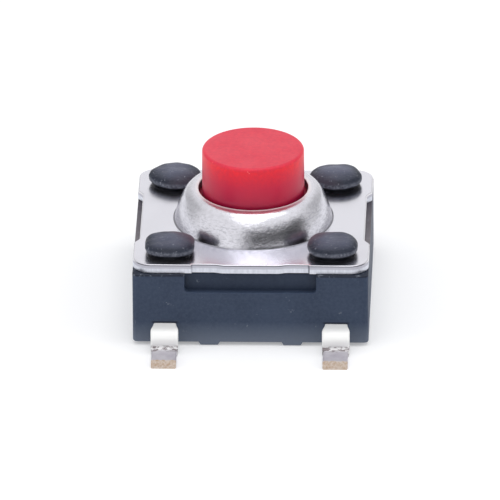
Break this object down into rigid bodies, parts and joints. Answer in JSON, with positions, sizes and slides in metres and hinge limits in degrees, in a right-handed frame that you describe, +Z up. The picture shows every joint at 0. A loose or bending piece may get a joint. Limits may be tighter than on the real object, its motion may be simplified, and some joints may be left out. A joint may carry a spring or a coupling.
{
  "type": "tactile push button switch",
  "caption": "Square surface-mount tactile push button switch with a round sprung button in a drawn metal collar and gull-wing solder leads.",
  "frame": {"origin": "middle of the footprint on the board plane, at the undersides of the four feet", "axes": "+Z up along the button's stem, +Y from the front leads to the back leads, +X to the right as seen from the front"},
  "size_m": [0.0062, 0.009, 0.0043],
  "materials": {
    "housing": "fine moulded grain, black with a slate tint",
    "cover_steel": "bright rolled sheet",
    "button_plastic": "satin red",
    "dome_steel": "bright spring sheet",
    "tinned_lead": "tin plating over brass, bare at the cut ends"
  },
  "bodies": {
    "housing": {"base": "housing", "cover": "cover_steel", "contact_dome": "dome_steel", "centre_terminal": "tinned_lead", "outer_terminal": "tinned_lead"},
    "plunger": {"button": "button_plastic"}
  },
  "joints": [
    {"name": "button_press", "type": "slide", "parent": "housing", "child": "plunger", "axis": [0, 0, -1], "range_m": [0, 0.00025], "stiffness_N_per_m": 10200, "deforming": ["contact_dome"]}
  ]
}
